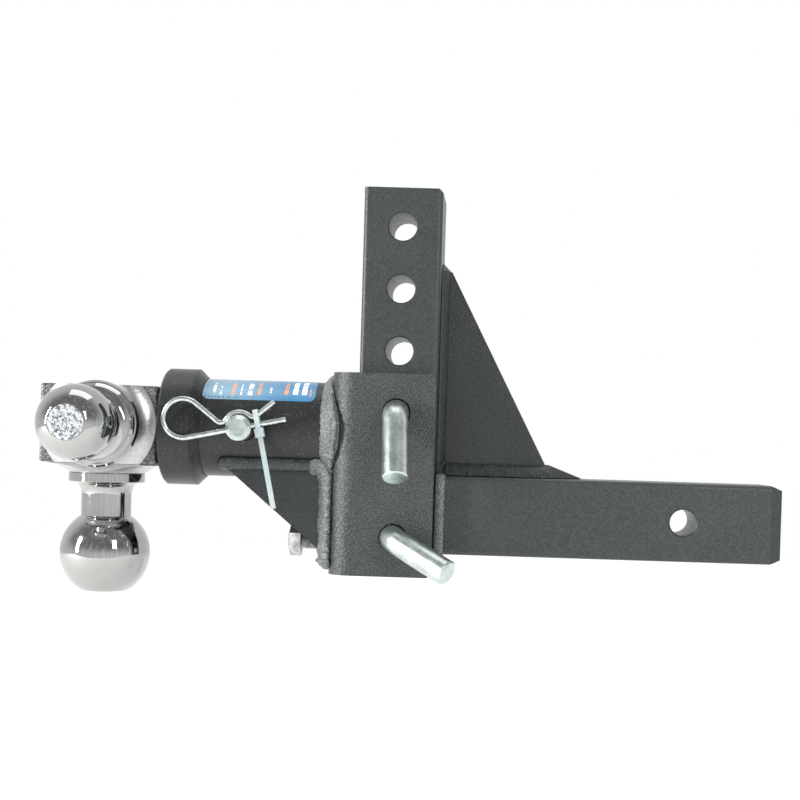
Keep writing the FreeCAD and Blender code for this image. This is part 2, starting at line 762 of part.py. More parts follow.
def build():
    shank = make_shank()
    post = make_post()
    sleeve = make_sleeve()
    tube = make_tube()
    web_near = make_web(-1)
    web_far = make_web(1)
    weld_tube = make_weld_tube(sleeve, [web_near, web_far])
    joined = [sleeve, tube, web_near, web_far, weld_tube]
    shank_weld = make_weld_shank_post([shank, post])
    gusset = make_gusset(shank_weld)
    pin_shape = dict(
        bend_y=-(sleeve_outer_half + pin_bend_clearance),
        end_y=sleeve_clip_y + pin_end_past_clip,
        clip_y=sleeve_clip_y,
        clip_tilt=0,
    )
    upper_pin = make_bent_pin(handle_angle=upper_handle_angle, **pin_shape)
    lower_pin = make_bent_pin(handle_angle=lower_handle_angle, **pin_shape)
    lock_pin = make_bent_pin(
        bend_y=-(tube_radius + pin_bend_clearance),
        end_y=lock_clip_y + pin_end_past_clip,
        clip_y=lock_clip_y,
        clip_tilt=-lock_clip_tilt,
        handle_angle=180 - lock_handle_angle,
    )
    lock_pin = turned(lock_pin, 180, axis=vec(0, 0, 1))
    clip = make_clip()
    far_clip = moved(turned(clip, 180, axis=vec(0, 0, 1)), 0, sleeve_clip_y, 0)
    near_clip = moved(turned(clip, -lock_clip_tilt), 0, -lock_clip_y, 0)
    tie = moved(turned(make_tie(), -lock_clip_tilt), 0, -lock_clip_y, 0)
    return {
        "shank_bar": shank,
        "drop_post": post,
        "gusset_plate": gusset,
        "weld_shank_post": shank_weld,
        "weld_gusset": make_weld_gusset([shank, post, gusset, shank_weld]),
        "sleeve_channel": sleeve,
        "receiver_tube": tube,
        "tube_end_ring": make_ring(),
        "web_plate_near": web_near,
        "web_plate_far": web_far,
        "weld_tube_sleeve": weld_tube,
        "weld_web_near": make_weld_web(-1, joined),
        "weld_web_far": make_weld_web(1, joined),
        "label": make_label(),
        "anti_rattle_nut": make_nut(),
        "anti_rattle_bolt": make_bolt(),
        "upper_hitch_pin": moved(upper_pin, post_x, 0, upper_pin_z),
        "lower_hitch_pin": moved(lower_pin, post_x, 0, lower_pin_z),
        "ball_lock_pin": moved(lock_pin, lock_pin_x, 0, tube_axis_z),
        "upper_pin_clip": moved(far_clip, post_x, 0, upper_pin_z),
        "lower_pin_clip": moved(far_clip, post_x, 0, lower_pin_z),
        "lock_pin_clip": moved(near_clip, lock_pin_x, 0, tube_axis_z),
        "cable_tie": moved(tie, lock_pin_x, 0, tube_axis_z),
        "hub_block": make_hub(),
        "hub_shaft": make_shaft(),
        "ball_large": on_hub(
            make_ball(ball_large_diameter, ball_large_flat, collar_large_radius, collar_large_radius), 180
        ),
        "ball_small": on_hub(
            make_ball(ball_small_diameter, ball_small_flat, collar_small_radius, collar_small_top_radius), 90
        ),
        "ball_medium": on_hub(
            make_ball(ball_medium_diameter, ball_medium_flat, collar_large_radius, collar_large_radius), 270
        ),
    }


os.makedirs("parts", exist_ok=True)
for name, shape in build().items():
    shape.exportStep("parts/" + name + ".step")
    box = shape.BoundBox
    print(
        name, "solids", len(shape.Solids), "valid", shape.isValid(), "volume", round(shape.Volume),
        "x", round(box.XMin, 1), round(box.XMax, 1), "y", round(box.YMin, 1), round(box.YMax, 1),
        "z", round(box.ZMin, 1), round(box.ZMax, 1),
    )
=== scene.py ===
import json
import math
import random

import bmesh
import bpy
from mathutils import Matrix, Vector

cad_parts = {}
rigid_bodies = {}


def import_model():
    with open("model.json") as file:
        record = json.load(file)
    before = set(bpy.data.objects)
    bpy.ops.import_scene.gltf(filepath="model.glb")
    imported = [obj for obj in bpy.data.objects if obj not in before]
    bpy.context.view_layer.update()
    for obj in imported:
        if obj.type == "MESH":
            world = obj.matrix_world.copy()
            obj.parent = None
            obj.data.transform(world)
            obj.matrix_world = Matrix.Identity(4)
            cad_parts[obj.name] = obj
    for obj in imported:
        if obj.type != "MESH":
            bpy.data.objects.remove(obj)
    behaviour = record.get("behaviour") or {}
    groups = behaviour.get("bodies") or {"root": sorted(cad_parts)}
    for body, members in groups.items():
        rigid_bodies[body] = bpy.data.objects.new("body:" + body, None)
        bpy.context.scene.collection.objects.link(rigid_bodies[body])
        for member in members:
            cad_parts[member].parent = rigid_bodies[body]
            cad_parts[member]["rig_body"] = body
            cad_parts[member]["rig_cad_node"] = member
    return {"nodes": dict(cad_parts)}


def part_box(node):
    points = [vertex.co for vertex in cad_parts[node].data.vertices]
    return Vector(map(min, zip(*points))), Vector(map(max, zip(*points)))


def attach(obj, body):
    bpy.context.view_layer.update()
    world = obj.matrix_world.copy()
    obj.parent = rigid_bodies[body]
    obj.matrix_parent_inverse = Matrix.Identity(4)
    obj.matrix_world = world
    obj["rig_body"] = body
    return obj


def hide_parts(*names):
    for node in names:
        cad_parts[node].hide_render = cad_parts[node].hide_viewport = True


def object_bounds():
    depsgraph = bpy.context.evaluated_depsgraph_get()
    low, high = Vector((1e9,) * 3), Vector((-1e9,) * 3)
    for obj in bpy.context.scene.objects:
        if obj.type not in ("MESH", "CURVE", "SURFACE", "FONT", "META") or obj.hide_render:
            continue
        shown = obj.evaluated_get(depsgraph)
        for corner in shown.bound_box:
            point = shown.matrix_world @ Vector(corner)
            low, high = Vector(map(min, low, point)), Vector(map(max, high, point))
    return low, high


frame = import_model()
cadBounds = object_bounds()
nodes = frame["nodes"]
mm = 0.001  # one millimetre in metres


# camera, floor and lights

cameraSettings = {
    "place": (-0.1153, -1.000, 0.0458),
    "turn": (89.083, -1.780, 0.628),   # degrees
    "lens": 68.1,
    "shift": (-0.112, 0.0875),
}


def setCamera():
    lens = bpy.data.cameras.new("camera")
    lens.lens = cameraSettings["lens"]
    lens.shift_x, lens.shift_y = cameraSettings["shift"]
    lens.clip_start = 0.01
    camera = bpy.data.objects.new("camera", lens)
    camera.location = cameraSettings["place"]
    camera.rotation_euler = [math.radians(angle) for angle in cameraSettings["turn"]]
    bpy.context.scene.collection.objects.link(camera)
    bpy.context.scene.camera = camera


class Wire:
    # one socket of a node tree, with arithmetic that adds Math nodes
    def __init__(self, tree, socket=None):
        self.tree = tree
        self.socket = socket

    def make(self, kind, settings, inputs, output=0):
        node = self.tree.nodes.new(kind)
        for name, value in settings.items():
            setattr(node, name, value)
        for name, value in inputs.items():
            if isinstance(value, Wire):
                self.tree.links.new(value.socket, node.inputs[name])
            else:
                node.inputs[name].default_value = value
        return Wire(self.tree, node.outputs[output] if node.outputs else None)

    def maths(self, operation, first, second=0.0):
        return self.make("ShaderNodeMath", {"operation": operation}, {0: first, 1: second})

    def __add__(self, other):
        return self.maths("ADD", self, other)

    def __sub__(self, other):
        return self.maths("SUBTRACT", self, other)

    def __rsub__(self, other):
        return self.maths("SUBTRACT", other, self)

    def __mul__(self, other):
        return self.maths("MULTIPLY", self, other)

    def __abs__(self):
        return self.maths("ABSOLUTE", self)

    __radd__ = __add__
    __rmul__ = __mul__

    def axis(self, name):
        return self.make("ShaderNodeSeparateXYZ", {}, {"Vector": self}, name)

    def noise(self, scale, detail=2.0, rough=0.5, stretch=None):
        at = self
        if stretch:
            at = self.make("ShaderNodeMapping", {}, {"Vector": self, "Scale": stretch})
        return at.make(
            "ShaderNodeTexNoise", {},
            {"Vector": at, "Scale": scale, "Detail": detail, "Roughness": rough}, "Fac",
        )

    def between(self, low, high):
        # 0 below low, 1 above high, smooth in between
        return self.make(
            "ShaderNodeMapRange", {"interpolation_type": "SMOOTHSTEP"},
            {"Value": self, "From Min": low, "From Max": high},
        )

    def blend(self, first, second):
        # this wire is the share of the second colour
        return self.make("ShaderNodeMix", {"data_type": "RGBA"}, {0: self, 6: first, 7: second}, 2)

    def bump(self, depth, strength):
        inputs = {"Height": self, "Distance": depth, "Strength": strength}
        return self.make("ShaderNodeBump", {}, inputs, "Normal")


def newMaterial(name):
    material = bpy.data.materials.new(name)
    material.use_nodes = True
    material.node_tree.nodes.clear()
    return material, Wire(material.node_tree).make("ShaderNodeTexCoord", {}, {}, "Object")


def closeMaterial(material, at, values):
    surface = at.make("ShaderNodeBsdfPrincipled", {}, values)
    at.make("ShaderNodeOutputMaterial", {}, {"Surface": surface})
    return material


studioSettings = {
    "floorGap": 60 * mm,
    "floorSize": (2.6, 1.75),
    "floorMiddle": (-0.18, 0.455),
    "floorColour": (0.96, 0.955, 0.945, 1),
    "airAhead": 0.30,        # what polished steel mirrors from the dark side of the room
    "airLow": 0.75,          # and what it mirrors from low down
    "airBehind": 1.0,
    "airFill": 1.04,
    "roomFade": (-0.25, 0.45),   # from the dark side of the room to the bright one
    "lowFade": (-0.12, 0.34),    # from low down to high up
    "streaks": 0.34,
    "streakScale": 9.0,
    "streakStretch": (1, 1, 0.12),
    "streakFade": (0.45, 0.75),
    "aim": (-0.2, 0, 0.05),      # where the lights point
    "softLights": {
        "leftBox": {"place": (-1.45, -0.62, 0.34), "size": (0.14, 0.70), "power": 26.0},
        "rightBox": {"place": (0.40, -0.95, 0.50), "size": (0.22, 0.50), "power": 5.0},
        "topBox": {"place": (-0.20, 0.10, 1.20), "size": (0.90, 0.50), "power": 2.5},
    },
}


def studioAir():
    # plain white to look at and to fill the shadows; polished steel mirrors a dim room in front
    s = studioSettings
    world = bpy.data.worlds.new("studioAir")
    bpy.context.scene.world = world
    world.use_nodes = True
    world.node_tree.nodes.clear()
    toward = Wire(world.node_tree).make("ShaderNodeTexCoord", {}, {}, "Generated")
    depth = toward.axis("Y").between(*s["roomFade"])
    streak = toward.noise(s["streakScale"], 2.0, 0.6, s["streakStretch"]).between(*s["streakFade"])
    lower = 1 - toward.axis("Z").between(*s["lowFade"])
    ahead = s["airAhead"] + streak * s["streaks"] + lower * s["airLow"]
    mirrored = ahead + depth * (s["airBehind"] - ahead)
    glossy = toward.make("ShaderNodeLightPath", {}, {}, "Is Glossy Ray")
    seen = toward.make("ShaderNodeLightPath", {}, {}, "Is Camera Ray")
    level = mirrored * glossy + (1 - glossy) * s["airFill"]
    level = level * (1 - seen) + seen
    air = toward.make("ShaderNodeBackground", {}, {"Color": (1, 1, 1, 1), "Strength": level})
    toward.make("ShaderNodeOutputWorld", {}, {"Surface": air})


def setLights():
    middle = Vector(studioSettings["aim"])
    for name, lightOf in studioSettings["softLights"].items():
        lamp = bpy.data.lights.new(name, "AREA")
        lamp.shape = "RECTANGLE"
        lamp.size, lamp.size_y = lightOf["size"]
        lamp.energy = lightOf["power"]
        light = bpy.data.objects.new(name, lamp)
        light.location = lightOf["place"]
        light.rotation_euler = (middle - light.location).to_track_quat("-Z", "Y").to_euler()
        bpy.context.scene.collection.objects.link(light)


def layFloor():
    low = min(corner[2] for corner in cadBounds)
    bpy.ops.object.select_all(action="DESELECT")
    place = (*studioSettings["floorMiddle"], low - studioSettings["floorGap"])
    bpy.ops.mesh.primitive_plane_add(size=1, location=place)
    floor = bpy.context.object
    floor.name = "floor"
    floor.scale = (*studioSettings["floorSize"], 1)
    bpy.ops.object.transform_apply(location=True, rotation=True, scale=True)
    material, at = newMaterial("floorPaper")
    floor.data.materials.append(closeMaterial(material, at, {
        "Base Color": studioSettings["floorColour"], "Roughness": 0.8,
    }))


setCamera()
studioAir()
setLights()
layFloor()
bpy.context.scene.view_settings.view_transform = "Standard"
print("studio set")


# finishes

powderSettings = {
    "grain": 1000,           # cells of noise across one metre, as are the next two
    "pebble": 330,
    "cloud": 22,
    "speckFade": (0.38, 0.70),
    "shares": (0.75, 0.12, 0.13),    # of speck, cloud and pebble in the tone
    "rough": (0.42, 0.28),           # between the specks and on them
    "smooth": {"dark": (0.013, 0.0165, 0.0165, 1), "light": (0.040, 0.050, 0.050, 1), "depth": 0.5 * mm},
    # shade: the same powder coat in darker tones, painted shade for the gusset set back between post and
    # shank, its bead and the webs under the tube
    "shade": {"dark": (0.005, 0.0065, 0.0065, 1), "light": (0.036, 0.044, 0.044, 1), "depth": 0.5 * mm},
    "sandy": {"dark": (0.006, 0.008, 0.008, 1), "light": (0.072, 0.084, 0.084, 1), "depth": 0.7 * mm},
    "bead": {"dark": (0.040, 0.045, 0.045, 1), "light": (0.210, 0.230, 0.230, 1), "depth": 0.9 * mm},
}


def powderCoat(name, kind):
    s = powderSettings
    tones = s[kind]
    material, at = newMaterial(name)
    grain = at.noise(s["grain"], 2.0, 0.6)
    pebble = at.noise(s["pebble"], 2.0, 0.5)
    cloud = at.noise(s["cloud"], 3.0, 0.6)
    speck = grain.between(*s["speckFade"])
    ofSpeck, ofCloud, ofPebble = s["shares"]
    tone = speck * ofSpeck + cloud.between(0.3, 0.7) * ofCloud + pebble * ofPebble
    dull, bright = s["rough"]
    return closeMaterial(material, at, {
        "Base Color": tone.blend(tones["dark"], tones["light"]),
        "Roughness": dull - (dull - bright) * speck,
        "Specular IOR Level": 0.5,
        "Normal": (grain * 0.75 + pebble * 0.25).bump(tones["depth"], 0.8),
    })


satinSettings = {
    "peel": 700,
    "cloud": 30,
    "speckFade": (0.58, 0.75),
    "dark": (0.005, 0.006, 0.006, 1),
    "light": (0.075, 0.082, 0.082, 1),
    "rough": 0.30,
    "depth": 0.2 * mm,
}


def satinPaint():
    s = satinSettings
    material, at = newMaterial("satinPaint")
    peel = at.noise(s["peel"], 2.0, 0.5)
    cloud = at.noise(s["cloud"], 3.0, 0.6)
    speck = peel.between(*s["speckFade"])
    return closeMaterial(material, at, {
        "Base Color": (cloud * 0.3 + speck * 0.7).blend(s["dark"], s["light"]),
        "Roughness": s["rough"] + 0.12 * cloud,
        "Specular IOR Level": 0.4,
        "Normal": peel.bump(s["depth"], 0.4),
    })


zincSettings = {
    "cloud": 120,
    "spangle": 600,
    "mottleFade": (0.35, 0.65),
    "dark": (0.44, 0.51, 0.49, 1),
    "light": (0.68, 0.74, 0.72, 1),
    "rough": (0.24, 0.16),       # least, and what the clouds add
    "bump": (0.15 * mm, 0.35),   # depth and strength
}


def zincPlate():
    s = zincSettings
    material, at = newMaterial("zincPlate")
    cloud = at.noise(s["cloud"], 4.0, 0.65)
    spangle = at.noise(s["spangle"], 3.0, 0.6)
    mottle = (cloud * 0.6 + spangle * 0.4).between(*s["mottleFade"])
    least, added = s["rough"]
    return closeMaterial(material, at, {
        "Base Color": mottle.blend(s["dark"], s["light"]),
        "Metallic": 1.0,
        "Roughness": least + added * cloud,
        "Normal": (cloud * 0.5 + spangle * 0.5).bump(*s["bump"]),
    })


cloudySettings = {
    "clipWire": {
        "cloud": 260, "detail": 3.0, "dark": (0.46, 0.51, 0.50, 1), "light": (0.72, 0.76, 0.75, 1),
        "rough": (0.20, 0.14), "bump": (0.1 * mm, 0.3),
    },
    "boltZinc": {
        "cloud": 200, "detail": 4.0, "dark": (0.34, 0.35, 0.35, 1), "light": (0.62, 0.63, 0.62, 1),
        "rough": (0.34, 0.20), "bump": (0.1 * mm, 0.4),
    },
}


def cloudyMetal(name):
    # thin plating whose colour drifts softly over the piece
    s = cloudySettings[name]
    material, at = newMaterial(name)
    cloud = at.noise(s["cloud"], s["detail"], 0.6)
    least, added = s["rough"]
    return closeMaterial(material, at, {
        "Base Color": cloud.between(0.3, 0.7).blend(s["dark"], s["light"]),
        "Metallic": 1.0,
        "Roughness": least + added * cloud,
        "Normal": cloud.bump(*s["bump"]),
    })


chromeSettings = {
    "haze": 70,
    "hazeFade": (0.35, 0.80),
    "wave": 45,
    "dark": (0.33, 0.34, 0.33, 1),
    "light": (0.43, 0.44, 0.43, 1),
    "rough": (0.05, 0.07),
    "bump": (0.2 * mm, 0.12),
}


def ballChrome():
    s = chromeSettings
    material, at = newMaterial("ballChrome")
    haze = at.noise(s["haze"], 3.0, 0.6)
    wave = at.noise(s["wave"], 1.0, 0.5)
    least, added = s["rough"]
    return closeMaterial(material, at, {
        "Base Color": haze.blend(s["dark"], s["light"]),
        "Metallic": 1.0,
        "Roughness": least + added * haze.between(*s["hazeFade"]),
        "Normal": wave.bump(*s["bump"]),
    })


stampSettings = {
    "dent": 520,
    "dentFade": (0.36, 0.56),
    "dark": (0.22, 0.24, 0.27, 1),
    "light": (0.86, 0.88, 0.90, 1),
    "rough": 0.28,
    "bump": (0.8 * mm, 0.7),
}


def stampedFlat():
    s = stampSettings
    material, at = newMaterial("stampedFlat")
    dent = at.noise(s["dent"], 3.0, 0.65)
    return closeMaterial(material, at, {
        "Base Color": dent.between(*s["dentFade"]).blend(s["dark"], s["light"]),
        "Metallic": 1.0,
        "Roughness": s["rough"],
        "Normal": dent.bump(*s["bump"]),
    })


hubSettings = {
    "rough": 900,
    "roughFade": (0.35, 0.70),
    "satin": 520,
    "seatFade": (0.1 * mm, 0.6 * mm),    # how far above the block's faces the seats begin
    "blockDark": (0.05, 0.05, 0.05, 1),
    "blockLight": (0.30, 0.30, 0.29, 1),
    "seatDark": (0.32, 0.33, 0.33, 1),
    "seatLight": (0.60, 0.61, 0.61, 1),
    "bump": (0.5 * mm, 0.5),
}


def hubFinish():
    # machined satin on the three seats, dark and rough on the block between them
    s = hubSettings
    low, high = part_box("hub_shaft")
    axisHeight = (low.z + high.z) / 2
    face = (high.z - low.z) / 2
    material, at = newMaterial("hubFinish")
    rise = at.maths("MAXIMUM", abs(at.axis("Y")), axisHeight - at.axis("Z"))
    rough = at.noise(s["rough"], 3.0, 0.6)
    satin = at.noise(s["satin"], 3.0, 0.6)
    seat = rise.between(*(face + step for step in s["seatFade"]))
    block = rough.between(*s["roughFade"]).blend(s["blockDark"], s["blockLight"])
    return closeMaterial(material, at, {
        "Base Color": seat.blend(block, satin.blend(s["seatDark"], s["seatLight"])),
        "Metallic": 0.8 + 0.2 * seat,
        "Roughness": 0.5 - 0.2 * seat + 0.08 * satin,
        "Normal": (rough * (1 - seat) * 0.6 + satin * seat * 0.5).bump(*s["bump"]),
    })


labelSettings = {
    "thickness": 0.23 * mm,
    "corner": 4.0 * mm,
    "cornerSteps": 6,
    "bendCuts": 36,
    "lift": 0.01 * mm,               # clear of the tube
    "smooth": 30,                    # degrees
    "pale": (0.15, 0.27, 0.36, 1),
    "blue": (0.03, 0.16, 0.31, 1),
    "white": (0.80, 0.86, 0.88, 1),
    "orange": (0.75, 0.24, 0.05, 1),
    "dark": (0.02, 0.06, 0.12, 1),
    "shadeFade": (0.15, 0.85),       # along the sticker, pale to blue
    "lineCount": 46,                 # cells of noise across the sticker that break bars into lines
    "lineBreaks": 0.12,              # and along it within one bar
    "footDashes": 60,
    # printed bars across the sticker: place and width along it, reach up from each edge, colour
    "bars": (
        (0.10, 0.022, 0.55, "white"), (0.16, 0.012, 0.42, "white"), (0.27, 0.030, 0.60, "orange"),
        (0.34, 0.012, 0.50, "white"), (0.42, 0.040, 0.66, "white"), (0.50, 0.030, 0.60, "orange"),
        (0.60, 0.014, 0.40, "white"), (0.74, 0.034, 0.62, "orange"), (0.82, 0.044, 0.68, "white"),
        (0.90, 0.044, 0.72, "white"), (0.955, 0.012, 0.36, "orange"),
    ),
}


def labelPrint():
    s = labelSettings
    material, _ = newMaterial("labelPrint")
    at = Wire(material.node_tree).make("ShaderNodeTexCoord", {}, {}, "UV")
    along = at.axis("X")
    across = at.axis("Y")
    inward = 0.5 - abs(across - 0.5)  # from either long edge to the middle
    colour = along.between(*s["shadeFade"]).blend(s["pale"], s["blue"])
    for place, width, reach, ink in s["bars"]:
        away = abs(along - place)
        inside = away.maths("LESS_THAN", away, width / 2)
        broken = at.noise(1.0, 1.0, 0.5, (s["lineBreaks"] / width, s["lineCount"], 1)).between(0.46, 0.50)
        band = inward.between(0.06, 0.07) * (1 - inward.between(reach / 2, reach / 2 + 0.01))
        colour = (inside * broken * band).blend(colour, s[ink])
    foot = inward.between(0.015, 0.02) * (1 - inward.between(0.035, 0.04))
    dashes = at.noise(1.0, 0, 0.5, (s["footDashes"], 0.1, 1))
    foot = foot * dashes.between(0.5, 0.53) * (1 - along.between(0.3, 0.32))
    colour = foot.blend(colour, s["dark"])
    return closeMaterial(material, at, {
        "Base Color": colour,
        "Roughness": 0.3 + 0.1 * at.noise(30, 2.0, 0.5),
        "Coat Weight": 0.3,
        "Coat Roughness": 0.15,
    })


nylonSettings = {
    "cloud": 300,
    "dark": (0.32, 0.39, 0.40, 1),
    "light": (0.46, 0.53, 0.54, 1),
    "glow": 0.25,
    "glowDepth": 1.0 * mm,
}


def tieNylon():
    s = nylonSettings
    material, at = newMaterial("tieNylon")
    cloud = at.noise(s["cloud"], 2.0, 0.5)
    return closeMaterial(material, at, {
        "Base Color": cloud.blend(s["dark"], s["light"]),
        "Roughness": 0.35 + 0.1 * cloud,
        "Subsurface Weight": s["glow"],
        "Subsurface Scale": s["glowDepth"],
    })


finishes = {
    "powder": powderCoat("powderCoat", "smooth"),
    # the shade coat is painted shade: the powder coat darkened for recessed and covered parts
    "shade": powderCoat("powderPaintedShade", "shade"),
    "sandy": powderCoat("powderSandy", "sandy"),
    "weld": powderCoat("weldCoat", "bead"),
    "satin": satinPaint(),
    "zinc": zincPlate(),
    "wire": cloudyMetal("clipWire"),
    "bolt": cloudyMetal("boltZinc"),
    "chrome": ballChrome(),
    "flat": stampedFlat(),
    "hub": hubFinish(),
    "label": labelPrint(),
    "nylon": tieNylon(),
}
nodeFinish = {
    "powder": ("shank_bar", "drop_post"),
    # painted shade: the gusset set back between post and shank, and the webs under the tube, take the
    # darkened coat
    "shade": ("gusset_plate", "web_plate_near", "web_plate_far"),
    "sandy": ("sleeve_channel",),
    "weld": ("weld_shank_post", "weld_gusset", "weld_tube_sleeve", "weld_web_near", "weld_web_far"),
    "satin": ("receiver_tube", "tube_end_ring"),
    "zinc": ("upper_hitch_pin", "lower_hitch_pin", "ball_lock_pin"),
    "wire": ("upper_pin_clip", "lower_pin_clip", "lock_pin_clip"),
    "bolt": ("anti_rattle_bolt", "anti_rattle_nut"),
    "chrome": ("ball_large", "ball_small", "ball_medium", "hub_shaft"),
    "hub": ("hub_block",),
    "label": ("label",),
    "nylon": ("cable_tie",),
}
for finish, names in nodeFinish.items():
    for name in names:
        nodes[name].data.materials.clear()
        nodes[name].data.materials.append(finishes[finish])
print("finishes given")


# modelling helpers

mergeDistance = 0.002 * mm


def letGo():
    if bpy.context.object and bpy.context.object.mode != "OBJECT":
        bpy.ops.object.mode_set(mode="OBJECT")
    bpy.ops.object.select_all(action="DESELECT")


def work(piece):
    letGo()
    piece.select_set(True)
    bpy.context.view_layer.objects.active = piece
    bpy.ops.object.mode_set(mode="EDIT")


def pick(kind, test):
    # picks the vertices, edges or faces being edited that pass the test
    bpy.ops.mesh.select_mode(type=kind)
    bpy.ops.mesh.select_all(action="DESELECT")
    mesh = bmesh.from_edit_mesh(bpy.context.object.data)
    parts = {"VERT": mesh.verts, "EDGE": mesh.edges, "FACE": mesh.faces}[kind]
    for part in parts:
        if test(part):
            part.select_set(True)
    bmesh.update_edit_mesh(bpy.context.object.data)


def tidyMesh():
    bpy.ops.mesh.select_all(action="SELECT")
    bpy.ops.mesh.remove_doubles(threshold=mergeDistance)
    bpy.ops.mesh.normals_make_consistent(inside=False)


def settle(piece, smoothAngle):
    # place goes into the mesh, and the surface is shaded smooth up to the given angle
    letGo()
    piece.select_set(True)
    bpy.context.view_layer.objects.active = piece
    bpy.ops.object.transform_apply(location=True, rotation=True, scale=True)
    bpy.ops.object.shade_smooth_by_angle(angle=math.radians(smoothAngle))


def applyModifier(piece, kind, **settings):
    letGo()
    piece.select_set(True)
    bpy.context.view_layer.objects.active = piece
    modifier = piece.modifiers.new(kind.lower(), kind)
    for name, value in settings.items():
        setattr(modifier, name, value)
    bpy.ops.object.modifier_apply(modifier=modifier.name)


def joinAll(pieces, name):
    letGo()
    for piece in pieces:
        piece.select_set(True)
    bpy.context.view_layer.objects.active = pieces[0]
    bpy.ops.object.join()
    pieces[0].name = name
    pieces[0].data.name = name
    return pieces[0]


def give(piece, finish, slot, body, *replaced):
    piece.data.materials.clear()
    piece.data.materials.append(finishes[finish])
    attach(piece, body)
    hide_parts(*replaced)


def spun(name, outline, steps):
    # turned piece: an outline of (radius, height) pulled point by point, then spun about Z
    letGo()
    bpy.ops.mesh.primitive_plane_add(size=1 * mm, location=(0, 0, 0))
    piece = bpy.context.object
    piece.name = name
    bpy.ops.object.mode_set(mode="EDIT")
    bpy.ops.mesh.select_mode(type="VERT")
    bpy.ops.mesh.select_all(action="SELECT")
    bpy.ops.mesh.merge(type="CENTER")
    here = Vector((outline[0][0], 0, outline[0][1]))
    bpy.ops.transform.translate(value=here)
    for radius, height in outline[1:]:
        there = Vector((radius, 0, height))
        bpy.ops.mesh.extrude_region_move(TRANSFORM_OT_translate={"value": there - here})
        here = there
    bpy.ops.mesh.select_all(action="SELECT")
    bpy.ops.mesh.spin(steps=steps, angle=math.tau, center=(0, 0, 0), axis=(0, 0, 1))
    tidyMesh()
    return piece


def arc(centreRadius, centreHeight, radius, start, end, steps):
    # outline points on an arc, angles in degrees from the radius direction
    points = []
    for i in range(steps + 1):
        turn = math.radians(start + (end - start) * i / steps)
        points.append((centreRadius + radius * math.cos(turn), centreHeight + radius * math.sin(turn)))
    return points


# balls: each is turned with its collar, neck and stamped flat

ballSettings = {
    "turnSteps": 96,
    "neckRadius": 16.2 * mm,
    "neckEnd": 60.3 * mm,
    "neckFillet": 8.0 * mm,
    "seat": 31.8 * mm,
    "collarHeight": 6.3 * mm,
    "collarEdge": 0.5 * mm,
    "groove": 1.3 * mm,
    "grooveLips": (0.6 * mm, 0.2 * mm),  # lower lip outside half way, upper lip inside it
    "flatEdge": 0.6 * mm,
    "markDepth": 0.35 * mm,
    "markEdge": 0.12 * mm,
    "stampRing": (0.34, 0.74),   # share of the flat's radius
    "filletSteps": 8,
    "ballSteps": 56,
    "smooth": 30,                # degrees
    "balls": {
        "ball_small": {
            "radius": 23.815 * mm, "flat": 20.9 * mm, "collar": (28.0 * mm, 24.4 * mm), "turn": 90,
        },
        "ball_large": {
            "radius": 29.37 * mm, "flat": 25.0 * mm, "collar": (24.65 * mm, 24.65 * mm), "turn": 180,
        },
        "ball_medium": {
            "radius": 25.4 * mm, "flat": 22.2 * mm, "collar": (24.65 * mm, 24.65 * mm), "turn": 270,
        },
    },
}


def hubCentre():
    low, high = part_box("hub_block")
    shaftLow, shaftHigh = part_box("hub_shaft")
    return Vector(((low.x + high.x) / 2, 0, (shaftLow.z + shaftHigh.z) / 2))


def turnBall(name, ballOf):
    s = ballSettings
    radius = ballOf["radius"]
    foot, top = ballOf["collar"]
    edge = s["collarEdge"]
    collarTop = s["seat"] + s["collarHeight"]
    fillet = min(s["neckFillet"], top - s["neckRadius"] - edge)
    centre = s["neckEnd"] + math.sqrt(radius ** 2 - s["neckRadius"] ** 2)
    flatHeight = centre + ballOf["flat"]
    flatRadius = math.sqrt(radius ** 2 - ballOf["flat"] ** 2)
    startAngle = math.degrees(math.atan2(s["neckEnd"] - centre, s["neckRadius"]))
    endAngle = math.degrees(math.atan2(ballOf["flat"] - s["flatEdge"], flatRadius + s["flatEdge"] * 0.6))
    outline = [(0, s["seat"]), (foot - edge, s["seat"]), (foot, s["seat"] + edge)]
    if foot > top:  # a flared collar has a turned groove half way up
        half = (foot + top) / 2
        rise = s["collarHeight"] / 2
        groove = s["groove"]
        lowerLip, upperLip = s["grooveLips"]
        outline += [
            (half + lowerLip, s["seat"] + rise - groove / 2),
            (half - groove, s["seat"] + rise - groove / 4),
            (half - groove, s["seat"] + rise + groove / 4),
            (half - upperLip, s["seat"] + rise + groove / 2),
        ]
    outline += [(top, collarTop - edge), (top - edge, collarTop)]
    outline += arc(s["neckRadius"] + fillet, collarTop + fillet, fillet, 270, 180, s["filletSteps"])
    outline += arc(0, centre, radius, startAngle, endAngle, s["ballSteps"])
    rim = flatRadius - s["flatEdge"]
    inner, outer = s["stampRing"]
    outline += [(rim, flatHeight), (rim * outer, flatHeight), (rim * inner, flatHeight), (0, flatHeight)]
    piece = spun(name + "_turned", outline, s["turnSteps"])

    def stamped(face):
        # about a third of the steps round the ring, unevenly spread
        at = face.calc_center_median()
        step = int((math.degrees(math.atan2(at.y, at.x)) % 360) / 360 * s["turnSteps"])
        share = math.hypot(at.x, at.y) / rim
        onTop = at.z > flatHeight - 0.01 * mm
        return onTop and inner < share < outer and (step * 7 + step // 5) % 6 < 2

    pick("FACE", stamped)
    bpy.ops.mesh.inset(thickness=s["markEdge"], depth=-s["markDepth"], use_individual=False)
    letGo()
    piece.data.materials.append(finishes["chrome"])
    piece.data.materials.append(finishes["flat"])
    for face in piece.data.polygons:
        onFlat = face.center.z > flatHeight - s["markDepth"] * 1.2 and math.hypot(*face.center.xy) < rim
        face.material_index = 1 if onFlat else 0
    piece.rotation_euler = (math.radians(ballOf["turn"]), 0, 0)
    piece.location = hubCentre()
    settle(piece, s["smooth"])
    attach(piece, "ball_head")
    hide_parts(name)


for ballName, ballOf in ballSettings["balls"].items():
    turnBall(ballName, ballOf)
print("balls turned")


# sticker on the tube, with round corners

